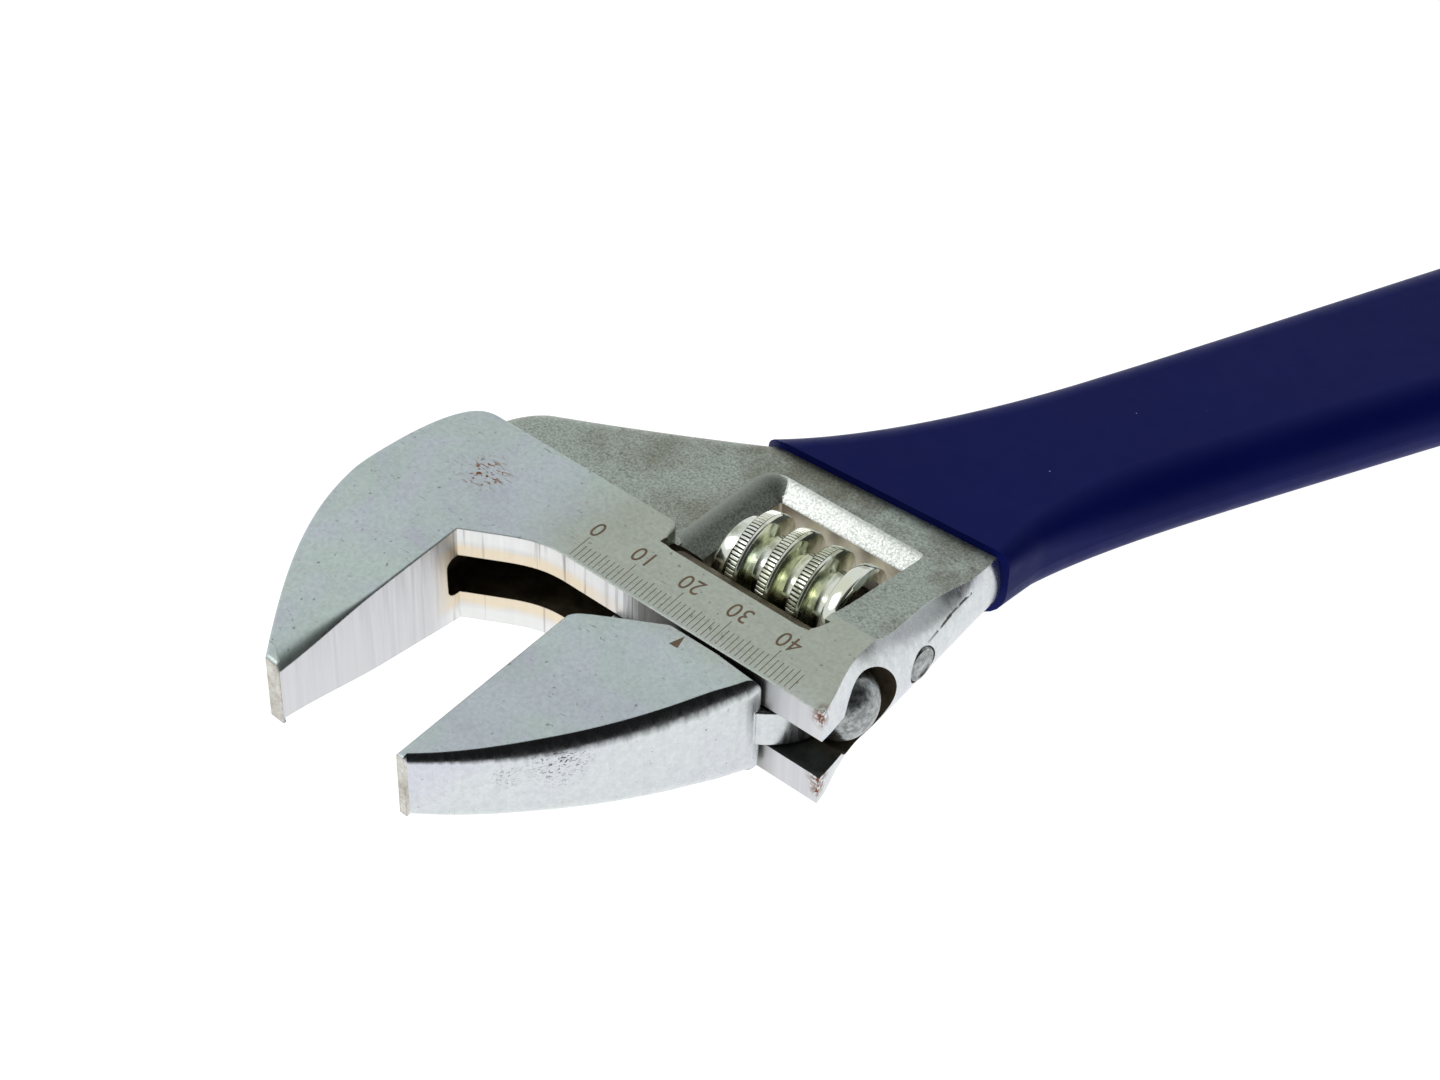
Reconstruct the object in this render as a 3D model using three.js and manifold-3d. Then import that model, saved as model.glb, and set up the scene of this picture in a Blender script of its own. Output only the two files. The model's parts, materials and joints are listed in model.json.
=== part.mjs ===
// An adjustable wrench, 15 inch size: a forged frame with the fixed jaw, a sliding jaw on a round rack,
// the knurled worm that drives the rack, its pin and take-up spring, and a dipped vinyl grip.
// Units are millimetres.  +X is the way the jaw opens, +Y runs towards the handle, +Z is across the thickness.
import * as THREE from 'three';
import { mergeVertices } from 'three/addons/utils/BufferGeometryUtils.js';
import Module from 'manifold-3d';

const wasm = await Module();
wasm.setup();

// Head
const HEAD_HALF = 9.8;            // half the head's thickness
const TIP_HALF = 6.5;             // half the thickness at the jaw tips
const FIXED_FACE = 39;            // length of the fixed jaw's gripping face
const MOVING_FACE = 40;           // depth of the moving jaw in front of the slot mouth's corner
const BOSS_BACK = 25.6;           // the thick part of the head ends here
const SLOT_MOUTH = 7.1;           // edge of the slide slot
const CHEEK_END = 71.3;           // right end of the slot's two cheeks
const REACH = 100;                // past everything, for cutting tools

// Slide
const SLOT_HALF = 4.0;
const SLOT_START = -5;            // blind end of the slot, under the fixed jaw
const SLOT_NOTCH = -0.8;          // how far the slot cutter marked the gripping face
const BORE_R = 7.5;
const ROD_R = 7.0;
const ROD_Y = 20;
const ROD_LENGTH = 42.6;
const NECK_HALF = 3.6;
const NECK_END = 36;              // the neck stops here and the bare rod runs on
const SHOULDER = 6.6;
const REST_OPENING = 27;

// Worm
const WORM_Y = 34.5;
const WORM_START = 30.5;
const WORM_END = 56.3;
const THREAD_START = 32.6;
const LEAD = 6.45;
const CREST_R = 10.05;
const ROOT_R = 6.75;
const CREST_WIDTH = 2.2;
const FLANK_WIDTH = 0.8;
const CREST_AT = 35.3;            // where a crest passes straight above the axis
const COLLAR_R = 8;
const WORM_BORE_R = 3.3;
const SEAT_R = 6.2;
const SEAT_FLOOR = 51.2;
const THREAD_GAP = 0.3;           // all-round clearance between the worm and the rack
const RACK_TOP = WORM_Y - COLLAR_R - 0.35;   // the teeth are flat-topped, clear of the collar

// Window for the worm
const WINDOW_LEFT = 29.8;
const WINDOW_RIGHT = 57.5;
const WINDOW_NEAR = 20;
const WINDOW_FAR = 46.6;
const WINDOW_DRAFT = 3.4;         // how far the forged slope runs out over the web
const DRAFT_DEPTH = 2;

// Pin and spring
const PIN_R = 2.9;
const PIN_START = 23.5;
const PLUG_R = 3.2;
const PLUG_START = 60.5;
const PLUG_END = 68.6;
const FIT = 0.3;
const COIL_R = 4.6;
const WIRE_R = 0.6;
const COIL_TURNS = 3.5;

// Web and handle
const WEB_HALF = 6;
const WEB_ROUND = 3.6;            // the web's sides are nearly half round: this far in, and
const WEB_DROP = 5;               // this far down
const HANDLE_ANGLE = THREE.MathUtils.degToRad(22.5);
const HANDLE_MID = 20;            // offset of the handle's centre line from the throat corner
const HANDLE_WAIST = 119;         // distance along the handle of its narrowest place
const SHANK_HALF = 5.9;           // half the steel's thickness inside the grip
const SHANK_ROUND = 5;
const WAIST_HALF = 15.6;
const END_HALF = 19;
const END_CENTRE = 327;           // centre of the round end and of the hanging hole
const HOLE_R = 9;
const VINYL = 1.5;                // the grip's skin, with the fitting gap under it
const GRIP_HALF = 7.5;
const GRIP_ROUND = 6.8;
const GRIP_HOLE_R = 7.2;
const MOUTH_Y = 54;               // the grip's mouth above the throat corner
const MOUTH_TILT = 3;             // its slant in degrees

const FRAME_SHIFT = FIXED_FACE / 2;   // the origin is the middle of the fixed gripping face

function solid(geometry) {
  geometry.deleteAttribute('normal');
  geometry.deleteAttribute('uv');
  const welded = mergeVertices(geometry);
  const vertProperties = new Float32Array(welded.attributes.position.array);
  const triVerts = new Uint32Array(welded.index.array);
  return new wasm.Manifold(new wasm.Mesh({ numProp: 3, vertProperties, triVerts }));
}

function geometryOf(manifold) {
  const mesh = manifold.getMesh();
  const geometry = new THREE.BufferGeometry();
  geometry.setAttribute('position', new THREE.BufferAttribute(mesh.vertProperties, 3));
  geometry.setIndex(new THREE.BufferAttribute(mesh.triVerts, 1));
  geometry.computeVertexNormals();
  return geometry;
}

// A flat outline made into a plate, centred on the middle plane.
function plate(outline, half, round = 0, drop = 0, steps = 3) {
  const geometry = new THREE.ExtrudeGeometry(outline, {
    depth: 2 * (half - drop),
    bevelEnabled: round > 0,
    bevelSize: round,
    bevelOffset: -round,
    bevelThickness: drop,
    bevelSegments: steps,
    curveSegments: 10,
  });
  return solid(geometry.translate(0, 0, drop - half));
}

function box(x0, x1, y0, y1, z0, z1) {
  const geometry = new THREE.BoxGeometry(x1 - x0, y1 - y0, z1 - z0);
  return solid(geometry.translate((x0 + x1) / 2, (y0 + y1) / 2, (z0 + z1) / 2));
}

// A round bar lying along X.
function bar(x0, x1, y, radius, sides = 40) {
  const geometry = new THREE.CylinderGeometry(radius, radius, x1 - x0, sides);
  return solid(geometry.rotateZ(Math.PI / 2).translate((x0 + x1) / 2, y, 0));
}

// A round bar along Z, through the whole thickness.
function throughBar(x, y, radius) {
  const geometry = new THREE.CylinderGeometry(radius, radius, 4 * HEAD_HALF, 32);
  return solid(geometry.rotateX(Math.PI / 2).translate(x, y, 0));
}

// A point given along and across the handle's centre line.
function onHandle(along, across) {
  const x = across * Math.cos(HANDLE_ANGLE) + along * Math.sin(HANDLE_ANGLE);
  const y = along * Math.cos(HANDLE_ANGLE) - across * Math.sin(HANDLE_ANGLE);
  return [x, y];
}

// The wedge both jaws are ground to: full thickness at the throat, thinner at the tips.
function jawTaper() {
  const side = new THREE.Shape();
  side.moveTo(-MOVING_FACE - 5, -TIP_HALF + 0.4);
  side.lineTo(0, -HEAD_HALF);
  side.lineTo(REACH, -HEAD_HALF);
  side.lineTo(REACH, HEAD_HALF);
  side.lineTo(0, HEAD_HALF);
  side.lineTo(-MOVING_FACE - 5, TIP_HALF - 0.4);
  const geometry = new THREE.ExtrudeGeometry(side, { depth: 2 * REACH, bevelEnabled: false });
  geometry.translate(0, 0, -REACH);
  const across = new THREE.Matrix4().makeBasis(
    new THREE.Vector3(0, 1, 0), new THREE.Vector3(0, 0, 1), new THREE.Vector3(1, 0, 0));
  return solid(geometry.applyMatrix4(across));
}

// The thick part of the head with the fixed jaw.
function bossOutline() {
  const edge = new THREE.Shape();
  edge.moveTo(0, 0);
  edge.lineTo(0, -FIXED_FACE);
  edge.lineTo(-3.4, -FIXED_FACE);
  edge.bezierCurveTo(-16.4, -21.5, -24, -9.5, -23.8, 5);
  edge.bezierCurveTo(-23.6, 13, -22.6, 19.5, -20.3, 23);
  edge.quadraticCurveTo(-18.6, BOSS_BACK, -15.5, BOSS_BACK);
  edge.lineTo(68.4, BOSS_BACK);
  edge.lineTo(CHEEK_END, SLOT_MOUTH);
  edge.lineTo(17.5, SLOT_MOUTH);
  edge.bezierCurveTo(12.5, SLOT_MOUTH, 9.5, 5.5, 6, 3.5);
  return edge;
}

// The web behind the head, up to the grip's mouth.
function webOutline() {
  const edge = new THREE.Shape();
  edge.moveTo(-15, 8);
  edge.lineTo(-21.6, 20.5);
  edge.quadraticCurveTo(-21.5, 33, -14.6, 37.8);
  edge.lineTo(25.4, 61.5);
  edge.lineTo(67, 61.5);
  edge.quadraticCurveTo(68, 45, 69.6, 28);
  edge.lineTo(67.5, 12);
  edge.closePath();
  return edge;
}

// The handle in plan: the steel shank, and with a skin round it the grip.  It starts inside the web.
function handleOutline(skin = 0) {
  const left = HANDLE_MID - WAIST_HALF - skin;
  const right = HANDLE_MID + WAIST_HALF + skin;
  const end = END_HALF + skin;
  const edge = new THREE.Shape();
  edge.moveTo(67.3 + skin, 44);
  edge.lineTo(-1, 40 + skin);
  edge.lineTo(...onHandle(51.5, -9.8 - skin));
  edge.bezierCurveTo(...onHandle(62.5, -skin), ...onHandle(92, left), ...onHandle(HANDLE_WAIST, left));
  edge.bezierCurveTo(
    ...onHandle(150, left), ...onHandle(230, HANDLE_MID - end), ...onHandle(END_CENTRE, HANDLE_MID - end));
  edge.absarc(...onHandle(END_CENTRE, HANDLE_MID), end, Math.PI - HANDLE_ANGLE, -HANDLE_ANGLE, true);
  edge.bezierCurveTo(
    ...onHandle(230, HANDLE_MID + end), ...onHandle(150, right), ...onHandle(HANDLE_WAIST, right));
  edge.quadraticCurveTo(...onHandle(99, right), ...onHandle(88, 37.6 + skin));
  edge.quadraticCurveTo(67.5 + skin, 56, 67.3 + skin, 44);
  return edge;
}

// A single-start thread: one cross-section, turned a full circle for every lead of length.
function thread(x0, x1, clearance = 0) {
  const crest = CREST_WIDTH / 2 + clearance;
  const foot = CREST_WIDTH / 2 + FLANK_WIDTH + clearance;
  const outer = CREST_R + clearance;
  const inner = ROOT_R + clearance;
  const section = [];
  const arcSteps = 6;
  for (let i = 0; i <= arcSteps; i += 1) {
    section.push([-crest + 2 * crest * i / arcSteps, outer]);
  }
  section.push([(crest + foot) / 2, (outer + inner) / 2]);
  for (let i = 0; i <= arcSteps; i += 1) {
    section.push([foot + (LEAD - 2 * foot) * i / arcSteps, inner]);
  }
  section.push([LEAD - (crest + foot) / 2, (outer + inner) / 2]);

  const slices = Math.ceil((x1 - x0) / LEAD * 28);
  const count = section.length;
  const positions = [];
  for (let k = 0; k <= slices; k += 1) {
    const x = x0 + (x1 - x0) * k / slices;
    for (const [offset, radius] of section) {
      const angle = Math.PI / 2 + 2 * Math.PI * (x - CREST_AT - offset) / LEAD;
      positions.push(x, WORM_Y + radius * Math.cos(angle), radius * Math.sin(angle));
    }
  }
  const faces = [];
  for (let k = 0; k < slices; k += 1) {
    for (let i = 0; i < count; i += 1) {
      const a = k * count + i;
      const b = k * count + (i + 1) % count;
      faces.push(a, a + count, b + count, a, b + count, b);
    }
  }
  positions.push(x0, WORM_Y, 0, x1, WORM_Y, 0);
  const firstHub = (slices + 1) * count;
  for (let i = 0; i < count; i += 1) {
    const next = (i + 1) % count;
    faces.push(firstHub, i, next);
    faces.push(firstHub + 1, slices * count + next, slices * count + i);
  }
  const geometry = new THREE.BufferGeometry();
  geometry.setAttribute('position', new THREE.Float32BufferAttribute(positions, 3));
  geometry.setIndex(faces);
  return solid(geometry);
}

// The window for the worm: upright walls, with a forged slope on its left and far sides, both faces.
function windowTool() {
  let tool = box(WINDOW_LEFT, WINDOW_RIGHT, WINDOW_NEAR, WINDOW_FAR, -REACH, REACH);
  tool = tool.add(box(26.6, WINDOW_LEFT + 1, WINDOW_NEAR, WINDOW_FAR, WEB_HALF - DRAFT_DEPTH, REACH));
  tool = tool.add(box(26.6, WINDOW_LEFT + 1, WINDOW_NEAR, WINDOW_FAR, -REACH, DRAFT_DEPTH - WEB_HALF));
  return tool.add(draftedPocket(1)).add(draftedPocket(-1));
}

// The sloped rim of the window on one face (side is 1 for the top, -1 for the underside).
function draftedPocket(side) {
  const rows = [
    [WEB_HALF - DRAFT_DEPTH, 0],
    [WEB_HALF, WINDOW_DRAFT],
    [WEB_HALF + 3, WINDOW_DRAFT],
  ];
  const positions = [];
  for (const [height, out] of rows) {
    positions.push(WINDOW_LEFT - out, WINDOW_NEAR, side * height);
    positions.push(WINDOW_RIGHT, WINDOW_NEAR, side * height);
    positions.push(WINDOW_RIGHT, WINDOW_FAR + out, side * height);
    positions.push(WINDOW_LEFT - out, WINDOW_FAR + out, side * height);
  }
  const faces = [0, 2, 1, 0, 3, 2, 8, 9, 10, 8, 10, 11];
  for (let row = 0; row < 2; row += 1) {
    for (let i = 0; i < 4; i += 1) {
      const a = row * 4 + i;
      const b = row * 4 + (i + 1) % 4;
      faces.push(a, b, b + 4, a, b + 4, a + 4);
    }
  }
  if (side < 0) {
    faces.reverse();
  }
  const geometry = new THREE.BufferGeometry();
  geometry.setAttribute('position', new THREE.Float32BufferAttribute(positions, 3));
  geometry.setIndex(faces);
  return solid(geometry);
}

// Everything on the head's side of the grip's mouth; shift moves the cut along the handle.
function headSide(shift) {
  return box(-REACH, REACH, -REACH, 0, -REACH, REACH)
    .rotate([0, 0, MOUTH_TILT])
    .translate([0, MOUTH_Y + shift, 0]);
}

// The shank with its hanging hole; grown by the fitting gap it is the hollow inside the grip.
function shank(gap = 0) {
  return plate(handleOutline(gap), SHANK_HALF + gap, SHANK_ROUND, SHANK_ROUND, 4)
    .subtract(throughBar(...onHandle(END_CENTRE, HANDLE_MID), HOLE_R - gap));
}

function bodySolid() {
  const boss = plate(bossOutline(), HEAD_HALF).intersect(jawTaper());
  const web = plate(webOutline(), WEB_HALF, WEB_ROUND, WEB_DROP, 4).intersect(headSide(-FIT));
  return boss.add(web).add(shank())
    .subtract(box(SLOT_START, REACH, SLOT_NOTCH, ROD_Y, -SLOT_HALF, SLOT_HALF))
    .subtract(bar(SLOT_START, REACH, ROD_Y, BORE_R))
    .subtract(windowTool())
    .subtract(bar(PIN_START - FIT, WINDOW_RIGHT + 5, WORM_Y, PIN_R + FIT, 24))
    .subtract(bar(PLUG_START, REACH, WORM_Y, PLUG_R + FIT, 32));
}

function jawOutline() {
  const edge = new THREE.Shape();
  edge.moveTo(0, -4);
  edge.lineTo(0, -MOVING_FACE);
  edge.lineTo(1.6, -MOVING_FACE);
  edge.bezierCurveTo(15.5, -28.5, 26, -13, 32.6, SHOULDER);
  edge.lineTo(14, SHOULDER);
  edge.lineTo(2, -0.8);
  edge.quadraticCurveTo(0, -2, 0, -4);
  return edge;
}

function jawSolid() {
  const block = plate(jawOutline(), HEAD_HALF).intersect(jawTaper());
  const neck = box(1, NECK_END, SHOULDER - 1, ROD_Y, -NECK_HALF, NECK_HALF);
  const rod = bar(0.4, ROD_LENGTH, ROD_Y, ROD_R);
  return block.add(neck).add(rod)
    .subtract(box(-1, ROD_LENGTH + 1, RACK_TOP, WORM_Y, -ROD_R, ROD_R))
    .translate([REST_OPENING, 0, 0])
    .subtract(thread(REST_OPENING - LEAD, REST_OPENING + ROD_LENGTH + LEAD, THREAD_GAP));
}

function wormSolid() {
  return thread(THREAD_START, WORM_END)
    .add(bar(WORM_START, THREAD_START + 1, WORM_Y, COLLAR_R))
    .subtract(bar(WORM_START - 1, WORM_END + 1, WORM_Y, WORM_BORE_R, 24))
    .subtract(bar(SEAT_FLOOR, WORM_END + 1, WORM_Y, SEAT_R, 32));
}

function pinSolid() {
  return bar(PIN_START, PLUG_START + 2, WORM_Y, PIN_R, 24)
    .add(bar(PLUG_START + FIT, PLUG_END, WORM_Y, PLUG_R, 32));
}

function springGeometry() {
  const start = SEAT_FLOOR + WIRE_R + FIT;
  const run = WINDOW_RIGHT - WIRE_R - FIT - start;
  class Coil extends THREE.Curve {
    getPoint(t, target = new THREE.Vector3()) {
      const angle = 2 * Math.PI * COIL_TURNS * t;
      return target.set(start + run * t, WORM_Y + COIL_R * Math.cos(angle), COIL_R * Math.sin(angle));
    }
  }
  const wire = new THREE.Shape();
  wire.absarc(0, 0, WIRE_R, 0, 2 * Math.PI, false);
  return new THREE.ExtrudeGeometry(wire, {
    extrudePath: new Coil(), steps: 64, curveSegments: 4, bevelEnabled: false,
  });
}

function gripSolid() {
  return plate(handleOutline(VINYL), GRIP_HALF, GRIP_ROUND, GRIP_ROUND, 5)
    .subtract(shank(FIT))
    .subtract(throughBar(...onHandle(END_CENTRE, HANDLE_MID), GRIP_HOLE_R))
    .subtract(headSide(0));
}

function part(name, geometry, color, roughness, metalness) {
  geometry.translate(0, FRAME_SHIFT, 0);
  const mesh = new THREE.Mesh(geometry, new THREE.MeshStandardMaterial({ color, roughness, metalness }));
  mesh.name = name;
  return mesh;
}

const wrench = new THREE.Group();
wrench.name = 'adjustable_wrench';
wrench.add(part('body', geometryOf(bodySolid()), 0xaeb5b3, 0.38, 0.9));
wrench.add(part('moving_jaw', geometryOf(jawSolid()), 0xb6bdbb, 0.34, 0.9));
wrench.add(part('worm', geometryOf(wormSolid()), 0xc3c7a4, 0.26, 0.95));
wrench.add(part('worm_pin', geometryOf(pinSolid()), 0xa5aba8, 0.35, 0.9));
wrench.add(part('worm_spring', springGeometry(), 0x8a8f8d, 0.3, 0.9));
wrench.add(part('grip_sleeve', geometryOf(gripSolid()), 0x151b57, 0.5, 0));
export default wrench;
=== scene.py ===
import json
import math

import bmesh
import bpy
from mathutils import Matrix, Vector


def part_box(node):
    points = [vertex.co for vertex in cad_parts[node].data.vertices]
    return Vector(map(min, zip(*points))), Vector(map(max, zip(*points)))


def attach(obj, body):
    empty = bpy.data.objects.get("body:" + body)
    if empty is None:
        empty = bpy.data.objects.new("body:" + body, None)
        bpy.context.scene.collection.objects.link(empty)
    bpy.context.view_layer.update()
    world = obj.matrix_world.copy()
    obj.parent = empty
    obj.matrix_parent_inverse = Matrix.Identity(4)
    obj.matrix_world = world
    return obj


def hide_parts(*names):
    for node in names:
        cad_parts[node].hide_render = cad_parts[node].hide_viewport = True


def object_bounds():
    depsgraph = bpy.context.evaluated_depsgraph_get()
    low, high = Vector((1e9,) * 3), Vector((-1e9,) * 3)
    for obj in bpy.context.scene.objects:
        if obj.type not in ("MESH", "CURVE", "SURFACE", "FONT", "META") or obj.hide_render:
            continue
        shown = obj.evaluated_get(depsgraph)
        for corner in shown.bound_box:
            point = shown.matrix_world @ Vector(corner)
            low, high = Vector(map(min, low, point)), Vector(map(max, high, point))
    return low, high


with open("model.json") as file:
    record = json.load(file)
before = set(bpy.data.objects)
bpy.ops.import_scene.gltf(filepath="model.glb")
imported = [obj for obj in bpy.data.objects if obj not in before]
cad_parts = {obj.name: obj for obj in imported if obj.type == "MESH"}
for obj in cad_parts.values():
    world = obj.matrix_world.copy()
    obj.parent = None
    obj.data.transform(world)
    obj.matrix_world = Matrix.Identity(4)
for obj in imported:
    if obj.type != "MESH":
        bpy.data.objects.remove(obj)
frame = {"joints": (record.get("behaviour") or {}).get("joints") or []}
cad_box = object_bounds()

MM = 0.001


def joint_named(name):
    return next(joint for joint in frame["joints"] if joint["name"] == name)


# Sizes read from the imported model.
JAW_TIP_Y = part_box("body")[0].y
HEAD_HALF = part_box("body")[1].z / MM
GRIP_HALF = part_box("grip_sleeve")[1].z / MM
THROAT_Y = -JAW_TIP_Y / MM
REST_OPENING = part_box("moving_jaw")[0].x / MM
WORM_Y = joint_named("worm_spin")["pos_m"][1] / MM - THROAT_Y
CREST_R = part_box("worm")[1].z / MM
FLOOR_Z = min(cad_box[0].z, -CREST_R * MM) - 0.00002

# Head
FIXED_FACE = 39
MOVING_FACE = 39.99
TIP_HALF = 6.5
BOSS_BACK = 25.6
SLOT_MOUTH = 7.1
WEB_HALF = 6.0
SLOT_HALF = 4.0
BORE_R = 7.5
ROD_R = 7.0
ROD_Y = 20.0
ROD_LENGTH = 42.6
DOME_R = 6.4
DOME_RUN = 5.7
SHOULDER = 6.35
WINDOW_LEFT = 29.8
WINDOW_RIGHT = 57.5
WINDOW_NEAR = 20
WINDOW_FAR = 46.6
HEAD_RIGHT = 71.3
PAST_HEAD = 76
FAR_OFF = 100

# Worm
LEAD = 6.45
ROOT_R = 6.75
CREST_AT = 35.3
WORM_START = 30.5
WORM_END = 56.5
THREAD_START = 32.6
COLLAR_R = 8.0
RIBS = 84
BAND_LEFT = -1.25
BAND_RIGHT = 0.6
BAND_START = 34.2
BAND_END = 50.0
SEAT_START = 51.2
RACK_GAP = 0.3

# Pin
PIN_R = 2.9
PIN_HEAD_R = 3.2
PIN_HEAD_START = 60.8
PIN_END = 69.75

# Handle
HANDLE_ANGLE = math.radians(22.5)
HANDLE_MID = 20
HANDLE_WAIST = 119
WAIST_HALF = 15.6
END_HALF = 19
END_CENTRE = 326.83
VINYL = 1.5
MOUTH_Y = 54.1
MOUTH_TILT = math.radians(3)
SHANK_HOLE_R = 9
GRIP_HOLE_R = 7.2

# Scale
SCALE_ZERO = 17.33
SCALE_LEAN = 0.079
SCALE_RISE = 0.015


# -------- outlines

def curve(points, steps):
    """Points along a Bezier curve of any degree, without its last point."""
    result = []
    for i in range(steps):
        t = i / steps
        row = [Vector(p) for p in points]
        while len(row) > 1:
            row = [a.lerp(b, t) for a, b in zip(row, row[1:])]
        result.append((row[0].x, row[0].y))
    return result


def arc(centre, radius, start, end, steps):
    """Points round a circle from one angle to another, without the last."""
    angles = [start + (end - start) * i / steps for i in range(steps)]
    return [(centre[0] + radius * math.cos(a), centre[1] + radius * math.sin(a)) for a in angles]


def on_handle(along, across):
    x = across * math.cos(HANDLE_ANGLE) + along * math.sin(HANDLE_ANGLE)
    y = along * math.cos(HANDLE_ANGLE) - across * math.sin(HANDLE_ANGLE)
    return (x, y)


def smooth(low, high, value):
    t = min(max((value - low) / (high - low), 0.0), 1.0)
    return t * t * (3 - 2 * t)


# -------- meshes

def new_object(name, vertices, faces):
    mesh = bpy.data.meshes.new(name)
    mesh.from_pydata([tuple(v) for v in vertices], [], faces)
    obj = bpy.data.objects.new(name, mesh)
    bpy.context.scene.collection.objects.link(obj)
    work = bmesh.new()
    work.from_mesh(mesh)
    bmesh.ops.recalc_face_normals(work, faces=work.faces)
    work.to_mesh(mesh)
    work.free()
    return obj


def skin(name, rings):
    """A closed solid through rings of points, each with the same count, capped at both ends."""
    count = len(rings[0])
    last = (len(rings) - 1) * count
    faces = [tuple(range(count)), tuple(range(last, last + count))]
    for a in range(last):
        b = a + 1 if (a + 1) % count else a + 1 - count
        faces.append((a, b, b + count, a + count))
    return new_object(name, [point for ring in rings for point in ring], faces)


def along_x(name, section, low, high):
    """A straight bar along X from its (y, z) section."""
    return skin(name, [[(x, y, z) for y, z in section] for x in (low, high)])


def combine(base, tool, operation):
    """Joins, cuts or intersects base with tool, which is used up."""
    cut = base.modifiers.new("combine", "BOOLEAN")
    cut.operation = operation
    cut.solver = "MANIFOLD"
    cut.object = tool
    bpy.context.view_layer.update()
    graph = bpy.context.evaluated_depsgraph_get()
    made = bpy.data.meshes.new_from_object(base.evaluated_get(graph))
    base.modifiers.clear()
    used = base.data
    base.data = made
    bpy.data.meshes.remove(used)
    bpy.data.objects.remove(tool)
    return base


def rim(half, radius, lean_from=0.0, lean_to=90.0):
    """A side from the middle plane up to the flat, as (inset, height) pairs: an upright wall that rolls over
    from one lean to the other, in degrees from upright."""
    start, end = math.radians(lean_from), math.radians(lean_to)
    foot = half - radius * (math.sin(end) - math.sin(start))
    side = [(0, foot * i / 5) for i in range(5)]
    for i in range(8):
        lean = start + (end - start) * i / 7
        inset = radius * (math.cos(start) - math.cos(lean))
        side.append((inset, foot + radius * (math.sin(lean) - math.sin(start))))
    return side


def plate(name, outline):
    """A closed plate from (x, y, upper side, lower side) points, each side a list as rim() makes it."""
    area = sum(a[0] * b[1] - b[0] * a[1] for a, b in zip(outline, outline[1:] + outline[:1]))
    if area < 0:
        outline = outline[::-1]
    count = len(outline)
    inwards = []
    for i in range(count):
        here = Vector(outline[i][:2])
        before = (here - Vector(outline[i - 1][:2])).normalized()
        after = (Vector(outline[(i + 1) % count][:2]) - here).normalized()
        left = Vector((-before.y - after.y, before.x + after.x))
        inwards.append(2 * left / max(left.length_squared, 0.5))
    steps = len(outline[0][2])
    levels = [(-1, k) for k in range(steps - 1, 0, -1)] + [(1, k) for k in range(steps)]
    rings = []
    for side, k in levels:
        ring = []
        for (x, y, upper, lower), inward in zip(outline, inwards):
            inset, z = (upper if side > 0 else lower)[k]
            ring.append((x + inward.x * inset, y + inward.y * inset, side * z))
        rings.append(ring)
    return skin(name, rings)


def same_rim(points, side):
    return [(x, y, side, side) for x, y in points]


def turned(name, profile, y, sides=96):
    """A solid turned about a line along X: profile is (x, radius) pairs, and starts and ends on the axis."""
    ring = [(math.cos(2 * math.pi * i / sides), math.sin(2 * math.pi * i / sides)) for i in range(sides)]
    inner = profile[1:-1]
    vertices = [(x, y + r * c, r * s) for x, r in inner for c, s in ring]
    vertices += [(profile[0][0], y, 0), (profile[-1][0], y, 0)]
    first, last = len(vertices) - 2, len(vertices) - 1
    faces = []
    for i in range(sides):
        j = (i + 1) % sides
        faces.append((first, j, i))
        top = (len(inner) - 1) * sides
        faces.append((last, top + i, top + j))
        for k in range(len(inner) - 1):
            faces.append((k * sides + i, k * sides + j, (k + 1) * sides + j, (k + 1) * sides + i))
    return new_object(name, vertices, faces)


def bar(name, x0, x1, y, radius, sides=96):
    return turned(name, [(x0, 0), (x0, radius), (x1, radius), (x1, 0)], y, sides)


def through_bar(name, centre, radius):
    """A bar along Z, to cut a hole right through with."""
    tool = bar(name, -30, 30, 0, radius)
    tool.data.transform(Matrix.Translation((centre[0], centre[1], 0)) @ Matrix.Rotation(math.pi / 2, 4, "Y"))
    return tool


def wedge(obj):
    """Grinds a jaw to its taper: full thickness at the throat, thinner at the tips."""
    work = bmesh.new()
    work.from_mesh(obj.data)
    everything = work.verts[:] + work.edges[:] + work.faces[:]
    bmesh.ops.bisect_plane(work, geom=everything, plane_co=(0, 0, 0), plane_no=(0, 1, 0))
    for vertex in work.verts:
        if vertex.co.y < 0:
            vertex.co.z *= 1 + vertex.co.y / FIXED_FACE * (1 - TIP_HALF / HEAD_HALF)
    work.to_mesh(obj.data)
    work.free()
    return obj


# -------- frame: jaw, head, web and shank

def end_wall(y, z):
    """Where the head's ground end wall is: it bulges more and more towards the handle."""
    middle = HEAD_RIGHT - 1.3 * smooth(5, 22, y) - 2.2 * smooth(30, 64, y)
    bulge = 0.003 + 0.03 * smooth(6, 22, y) + 0.045 * smooth(22, 46, y)
    if z > 0:
        bulge -= 0.04 * smooth(42, 56, y)
    return middle - bulge * z * z


def beyond_end_wall():
    """Everything past the end wall, to trim the head with."""
    rows, columns = 56, 28
    near, far, side = -2, 70, 11
    vertices = []
    for j in range(rows + 1):
        for i in range(columns + 1):
            y = near + (far - near) * j / rows
            z = -side + 2 * side * i / columns
            vertices.append((end_wall(y, z), y, z))
    front = len(vertices)
    vertices += [(90, y, z) for y, z in ((near, -side), (near, side), (far, side), (far, -side))]
    faces = []
    across = columns + 1
    for j in range(rows):
        for i in range(columns):
            a = j * across + i
            faces.append((a, a + 1, a + across + 1, a + across))
    bottom = list(range(across))
    top = [rows * across + i for i in range(across)]
    low = [j * across for j in range(rows + 1)]
    high = [j * across + columns for j in range(rows + 1)]
    faces.append((*bottom[::-1], front, front + 1))
    faces.append((*top, front + 2, front + 3))
    faces.append((*low, front + 3, front))
    faces.append((*high[::-1], front + 1, front + 2))
    faces.append((front, front + 3, front + 2, front + 1))
    return new_object("beyond", vertices, faces)


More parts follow.
